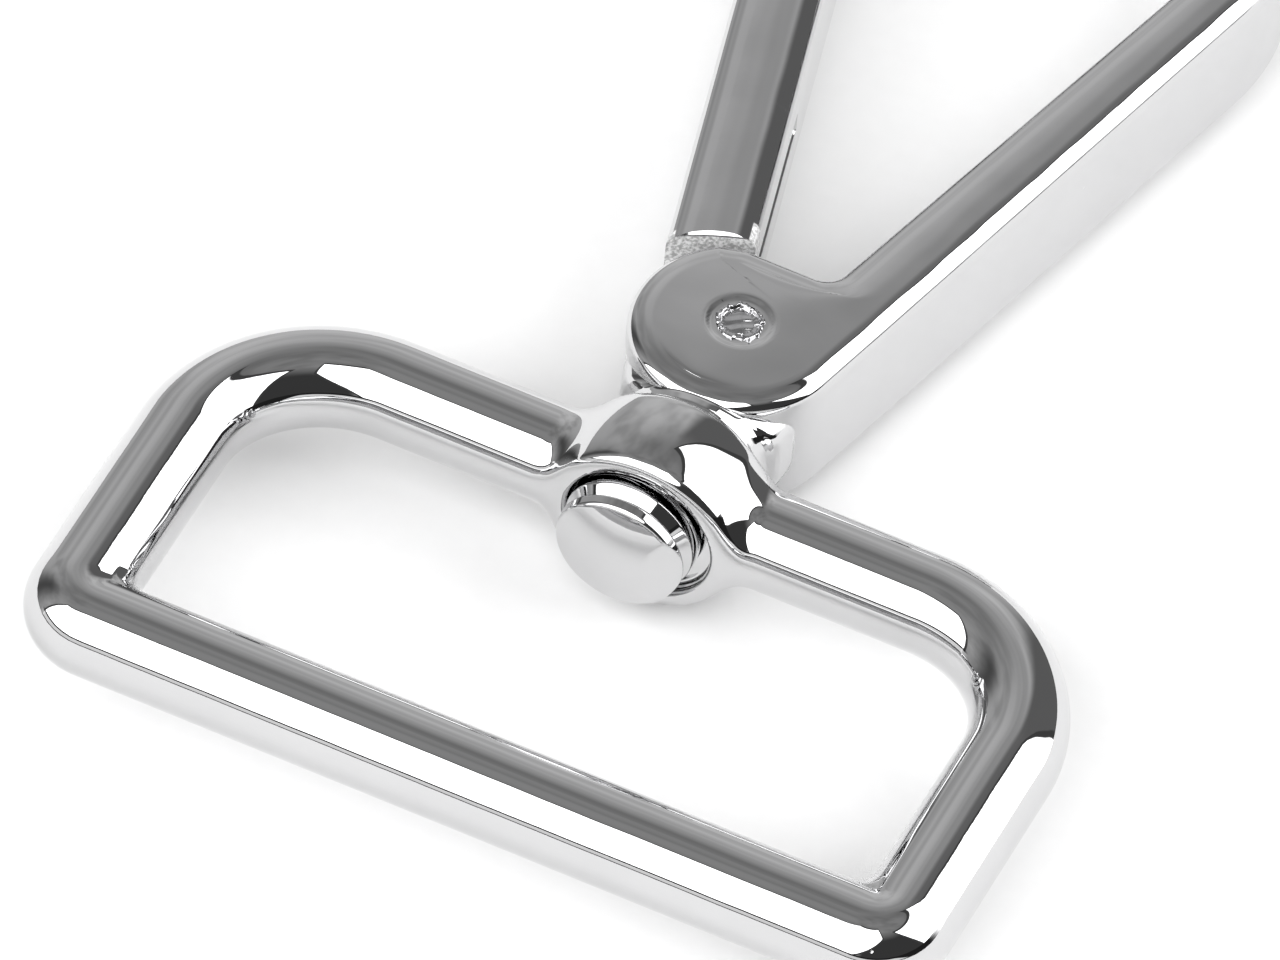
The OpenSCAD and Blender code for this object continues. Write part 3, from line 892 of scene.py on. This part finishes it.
def group(name, inputs, outputs):
    """An empty node group with named float, vector or colour sockets; returns it with its input and
    output nodes."""
    made = bpy.data.node_groups.new(name, "ShaderNodeTree")
    for label, kind, value in inputs:
        socket = made.interface.new_socket(label, in_out="INPUT", socket_type="NodeSocket" + kind)
        if value is not None:
            socket.default_value = value
    for label, kind in outputs:
        made.interface.new_socket(label, in_out="OUTPUT", socket_type="NodeSocket" + kind)
    return made, made.nodes.new("NodeGroupInput").outputs, made.nodes.new("NodeGroupOutput").inputs


def relief_group():
    """Height, in millimetres, of a polished casting: long soft waves, shorter ripples, and rare small
    pits."""
    tree, given, result = group("cast_relief", [
        ("Vector", "Vector", None), ("Waves", "Float", 0.03), ("Ripples", "Float", 0.002),
        ("Pits", "Float", 0.02),
    ], [("Height", "Float")])
    vector = given["Vector"]
    waves = noise(tree, vector, 190.0, 1.0, 0.4)
    ripples = noise(tree, vector, 850.0, 2.0)
    cells = node(tree, "ShaderNodeTexVoronoi", {"Vector": vector, "Scale": 620.0, "Randomness": 1.0})
    rare = ramp(tree, cells.outputs["Color"], 0.84, 0.88)
    dot = ramp(tree, cells.outputs["Distance"], 0.02, 0.075, 1.0, 0.0)
    pit = math_node(tree, "MULTIPLY", math_node(tree, "MULTIPLY", rare, dot), given["Pits"])
    height = math_node(tree, "MULTIPLY", waves, given["Waves"])
    height = math_node(tree, "MULTIPLY_ADD", ripples, given["Ripples"], height)
    tree.links.new(math_node(tree, "SUBTRACT", height, pit), result["Height"])
    return tree


def wear_group():
    """Faint marks of handling: smears that dull the shine, hairline scratches, and a tint that shifts
    with them."""
    tree, given, result = group("handling_wear", [
        ("Vector", "Vector", None), ("Shine", "Float", 0.03), ("Smear", "Float", 0.05),
        ("Scratches", "Float", 0.1), ("Tint", "Color", (0.7, 0.7, 0.7, 1)),
        ("Shade", "Color", (0.6, 0.6, 0.6, 1)),
    ], [("Roughness", "Float"), ("Color", "Color")])
    vector = given["Vector"]
    smear = noise(tree, vector, 170.0, 4.0, 0.6)
    smeared = ramp(tree, smear, 0.45, 0.75)
    turned = node(tree, "ShaderNodeMapping", {
        "Vector": vector, "Rotation": (0.3, 0.5, 0.9), "Scale": (150.0, 3200.0, 1200.0)})
    lines = noise(tree, turned.outputs["Vector"], 1.0, 1.0)
    scratched = math_node(tree, "MULTIPLY", ramp(tree, lines, 0.69, 0.74), smeared)
    rough = math_node(tree, "MULTIPLY_ADD", smeared, given["Smear"], given["Shine"])
    rough = math_node(tree, "MULTIPLY_ADD", scratched, given["Scratches"], rough)
    tree.links.new(rough, result["Roughness"])
    mixed = node(tree, "ShaderNodeMix", {
        "Factor": smear, "A": given["Tint"], "B": given["Shade"]}, data_type="RGBA")
    tree.links.new(mixed.outputs["Result"], result["Color"])
    return tree


RELIEF = relief_group()
WEAR = wear_group()


def metal(name, tint, shade, offset=0.0, **amounts):
    """A plated metal whose shine, tint and relief vary over the surface. amounts gives shine, smear,
    scratches, waves, ripples and pits, and offset moves the patterns."""
    material, tree, shader = new_material(name)
    place = node(tree, "ShaderNodeTexCoord").outputs["Object"]
    moved = node(tree, "ShaderNodeMapping", {"Vector": place, "Location": (offset, -offset, 2 * offset)})
    wear, relief = (node(tree, "ShaderNodeGroup", {}, node_tree=made) for made in (WEAR, RELIEF))
    for used, keys in ((wear, ("shine", "smear", "scratches")), (relief, ("waves", "ripples", "pits"))):
        tree.links.new(moved.outputs["Vector"], used.inputs["Vector"])
        for key in keys:
            used.inputs[key.capitalize()].default_value = amounts[key]
    wear.inputs["Tint"].default_value = (*tint, 1)
    wear.inputs["Shade"].default_value = (*shade, 1)
    bump = node(tree, "ShaderNodeBump", {
        "Height": relief.outputs["Height"], "Strength": 1.0, "Distance": MM})
    shader.inputs["Metallic"].default_value = 1.0
    tree.links.new(wear.outputs["Color"], shader.inputs["Base Color"])
    tree.links.new(wear.outputs["Roughness"], shader.inputs["Roughness"])
    tree.links.new(bump.outputs["Normal"], shader.inputs["Normal"])
    return material


def roughen_end(material):
    """Leaves the gate's end and tongue as they were cast: below the lid and near the rivet's axis the
    plating is dull, grainy and lighter."""
    tree = material.node_tree
    shader = tree.nodes["Principled BSDF"]
    place = node(tree, "ShaderNodeTexCoord").outputs["Object"]
    split = node(tree, "ShaderNodeSeparateXYZ", {0: place}).outputs
    flat = node(tree, "ShaderNodeCombineXYZ", {0: split["X"], 1: split["Y"]}).outputs[0]
    centre = (PIVOT[0] * MM, PIVOT[1] * MM, 0)
    away = node(tree, "ShaderNodeVectorMath", {0: flat, 1: centre}, operation="DISTANCE").outputs["Value"]
    height = math_node(tree, "ABSOLUTE", split["Z"])
    near = ramp(tree, away, ROUGH_R * MM, (ROUGH_R + 0.2) * MM, 1.0, 0.0)
    below = ramp(tree, height, (ROUGH_TOP - 0.05) * MM, ROUGH_TOP * MM, 1.0, 0.0)
    cast = math_node(tree, "MULTIPLY", near, below)
    grain = noise(tree, place, 5200.0, 3.0)
    speckle = ramp(tree, grain, 0.35, 0.65, 0.45, 0.95)
    for socket, kind, value in (("Base Color", "RGBA", speckle), ("Roughness", "FLOAT", 0.5)):
        plated = shader.inputs[socket].links[0].from_socket
        mix = node(tree, "ShaderNodeMix", {"Factor": cast}, data_type=kind)
        first, second = (i for i in mix.inputs if i.enabled and i.name in "AB")
        tree.links.new(plated, first)
        if kind == "RGBA":
            tree.links.new(value, second)
        else:
            second.default_value = value
        tree.links.new(next(o for o in mix.outputs if o.enabled), shader.inputs[socket])
    tree.links.new(ramp(tree, cast, 0.0, 1.0, 1.0, 0.35), shader.inputs["Metallic"])


# ---------- studio ----------

PANEL = 3.5
PANEL_EDGE = 0.07
TABLE_R = 3.0
TABLE_GAP = 2e-5

# the camera's azimuth, elevation and roll in degrees, the point it looks at in millimetres, and its
# distance from it in metres
VIEW_ANGLES = (21.14, 48.33, 5.81)
VIEW_TARGET = (-1.399, 21.84, 0.0)
VIEW_DISTANCE = 1.394
SENSOR_MM, LENS_MM = 36.0, 790.1


def studio_world():
    """A grey tent with two large white panels, one in front on the left and one behind on the right,
    over a thin dark gap above the table. Angles are in degrees: front is measured from -Y towards +X,
    back from +Y towards +X, rise from the horizon. What comes later covers what came before."""
    world = bpy.data.worlds.new("studio")
    world.use_nodes = True
    tree = world.node_tree
    shader = tree.nodes["Background"]
    direction = node(tree, "ShaderNodeTexCoord").outputs["Generated"]
    split = node(tree, "ShaderNodeSeparateXYZ", {0: direction}).outputs
    degrees = 180 / math.pi
    rise = math_node(tree, "MULTIPLY", math_node(tree, "ARCSINE", split["Z"]), degrees)
    back = math_node(tree, "MULTIPLY", math_node(tree, "ARCTAN2", split["X"], split["Y"]), degrees)
    minus_y = math_node(tree, "MULTIPLY", split["Y"], -1.0)
    front = math_node(tree, "MULTIPLY", math_node(tree, "ARCTAN2", split["X"], minus_y), degrees)

    def up(value, start, end):
        return ramp(tree, value, start, end)

    def down(value, start, end):
        return ramp(tree, value, start, end, 1.0, 0.0)

    def times(*values):
        total = values[0]
        for value in values[1:]:
            total = math_node(tree, "MULTIPLY", total, value)
        return total

    def covered(base, other, mask):
        change = math_node(tree, "SUBTRACT", other, base)
        return math_node(tree, "MULTIPLY_ADD", change, mask, base)

    # tent: mid grey, lighter behind, with soft clouds
    tent = ramp(tree, rise, 30.0, 64.0, 0.40, 0.27)
    behind = times(up(back, -62.0, -28.0), down(back, 0.0, 90.0))
    tent = covered(tent, ramp(tree, rise, 30.0, 66.0, 0.57, 0.23), behind)
    tent = times(tent, ramp(tree, noise(tree, direction, 3.2, 2.0), 0.35, 0.65, 0.9, 1.25))
    # dim places: behind on the right, in front on the right, and on the far left
    dim_behind = times(up(back, -6.0, 8.0), down(back, 95.0, 120.0), down(rise, 45.0, 75.0))
    dim_front = times(up(front, 0.0, 12.0), down(front, 85.0, 105.0), down(rise, 48.0, 66.0))
    dim_left = times(down(front, -98.0, -72.0), up(front, -120.0, -98.0), down(rise, 28.0, 58.0))
    for light, place in ((0.15, dim_behind), (0.055, dim_front), (0.09, dim_left)):
        tent = covered(tent, light, place)
    # panel in front on the left, whose right side leans and whose top falls away to the left
    right = math_node(tree, "SUBTRACT", front, rise)
    past = math_node(tree, "MINIMUM", math_node(tree, "ADD", front, 25.0), 0.0)
    top = math_node(tree, "MULTIPLY_ADD", past, -0.5, rise)
    for light, left_at, right_at, top_at, end_at in (
            (PANEL_EDGE, -70.5, -8.5, 77.0, 45.0), (PANEL, -68.0, -12.5, 74.0, 42.0)):
        panel = times(
            up(front, left_at, left_at + 1), down(right, right_at, right_at + 1),
            down(top, top_at, top_at + 1), down(front, end_at, end_at + 1))
        tent = covered(tent, light, panel)
    # panel behind on the right, whose left side curves and whose right side leans
    above = math_node(tree, "MAXIMUM", math_node(tree, "SUBTRACT", rise, 12.0), 0.0)
    left = math_node(tree, "MULTIPLY_ADD", math_node(tree, "POWER", above, 2.0), 0.012, back)
    right = math_node(tree, "MULTIPLY_ADD", rise, -0.375, back)
    for light, left_at, right_at, top_at in ((PANEL_EDGE, 36.5, 85.0, 63.5), (PANEL, 39.5, 82.0, 60.5)):
        panel = times(
            up(left, left_at, left_at + 1), down(right, right_at, right_at + 1),
            down(rise, top_at, top_at + 1))
        tent = covered(tent, light, panel)
    # low in front: the pale table's far part, a dark gap above it, and a second thin gap at the horizon
    ahead = times(up(front, -75.0, -65.0), down(front, 100.0, 130.0))
    gap_from = math_node(tree, "SUBTRACT", rise, ramp(tree, front, 50.0, 75.0, 7.4, 0.5))
    gap = times(ahead, up(gap_from, 0.0, 0.6), down(rise, 10.8, 11.6))
    tent = covered(tent, 1.0, times(down(rise, 7.2, 7.8), ahead))
    tent = covered(tent, 0.02, gap)
    tent = covered(tent, 0.04, times(ahead, down(rise, 1.4, 2.0)))
    tree.links.new(tent, shader.inputs["Strength"])
    shader.inputs["Color"].default_value = (1, 1, 1, 1)
    bpy.context.scene.world = world


def table():
    """A large pale disc just under the object, which is stage and not part of it."""
    low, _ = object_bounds()
    mesh = bpy.data.meshes.new("table")
    a = np.linspace(0, 2 * np.pi, 96, endpoint=False)
    rim = np.stack([TABLE_R * np.cos(a), TABLE_R * np.sin(a), np.full(len(a), low.z - TABLE_GAP)], 1)
    mesh.from_pydata(rim.tolist(), [], [list(range(len(a)))])
    material, tree, shader = new_material("table_white")
    place = node(tree, "ShaderNodeTexCoord").outputs["Object"]
    tint = node(tree, "ShaderNodeMix", {
        "Factor": noise(tree, place, 900.0, 3.0), "A": (0.93, 0.93, 0.93, 1), "B": (0.9, 0.9, 0.9, 1),
    }, data_type="RGBA")
    tree.links.new(tint.outputs["Result"], shader.inputs["Base Color"])
    shader.inputs["Roughness"].default_value = 0.9
    shader.inputs["Specular IOR Level"].default_value = 0.1
    mesh.materials.append(material)
    obj = bpy.data.objects.new("table", mesh)
    bpy.context.scene.collection.objects.link(obj)
    obj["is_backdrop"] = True


def camera():
    """A long lens from in front, a little to the right, looking down about 48 degrees and rolled a
    little."""
    azimuth, elevation, roll = (math.radians(a) for a in VIEW_ANGLES)
    target = Vector(VIEW_TARGET) * MM
    level = Vector((math.cos(azimuth), math.sin(azimuth), 0))
    ahead = Vector((-math.sin(azimuth), math.cos(azimuth), 0))
    back = math.sin(elevation) * Vector((0, 0, 1)) - math.cos(elevation) * ahead
    right = math.cos(roll) * level + math.sin(roll) * back.cross(level)
    up = back.cross(right)
    data = bpy.data.cameras.new("camera")
    data.sensor_width = SENSOR_MM
    data.lens = LENS_MM
    data.clip_start, data.clip_end = 0.05, 20.0
    obj = bpy.data.objects.new("camera", data)
    bpy.context.scene.collection.objects.link(obj)
    turned = Matrix((right, up, back)).transposed().to_4x4()
    obj.matrix_world = Matrix.Translation(target + back * VIEW_DISTANCE) @ turned
    bpy.context.scene.camera = obj


# ---------- the object, its studio and its camera ----------

SURFACES = [
    ("strap_loop_skin", strap_loop_mesh, "loop", "strap_loop", "loop_chrome", 38),
    ("swivel_stud_skin", stud_mesh, "hook", "swivel_stud", "stud_chrome", 45),
    ("hook_body_skin", hook_mesh, "hook", "hook_body", "hook_chrome", 32),
    ("gate_skin", gate_mesh, "gate", "gate", "gate_chrome", 26),
    ("gate_rivet_skin", rivet_mesh, "hook", "gate_rivet", "rivet_steel", 60),
    ("gate_spring_skin", spring_mesh, "gate", "gate_spring", "spring_steel", 60),
]
TINT, SHADE = (0.63, 0.63, 0.635), (0.585, 0.585, 0.59)
FINISHES = {
    "loop_chrome": metal(
        "loop_chrome", TINT, SHADE, shine=0.015, smear=0.03, scratches=0.08,
        waves=0.035, ripples=0.0022, pits=0.02),
    "stud_chrome": metal(
        "stud_chrome", TINT, SHADE, 0.013, shine=0.02, smear=0.04, scratches=0.08,
        waves=0.03, ripples=0.003, pits=0.02),
    "hook_chrome": metal(
        "hook_chrome", TINT, SHADE, 0.027, shine=0.02, smear=0.04, scratches=0.08,
        waves=0.1, ripples=0.002, pits=0.02),
    "gate_chrome": metal(
        "gate_chrome", TINT, SHADE, 0.041, shine=0.02, smear=0.04, scratches=0.08,
        waves=0.06, ripples=0.002, pits=0.02),
    "rivet_steel": metal(
        "rivet_steel", (0.56, 0.56, 0.57), (0.42, 0.42, 0.43), shine=0.14, smear=0.12, scratches=0.1,
        waves=0.03, ripples=0.012, pits=0.02),
    "spring_steel": metal(
        "spring_steel", (0.42, 0.42, 0.43), (0.33, 0.33, 0.34), shine=0.25, smear=0.1, scratches=0.1,
        waves=0.01, ripples=0.004, pits=0.0),
}
roughen_end(FINISHES["gate_chrome"])
for name, make, body, cad, slot, sharp in SURFACES:
    piece(name, make(), body, cad, FINISHES[slot], sharp)

studio_world()
table()
camera()
bpy.context.scene.view_settings.view_transform = "Standard"
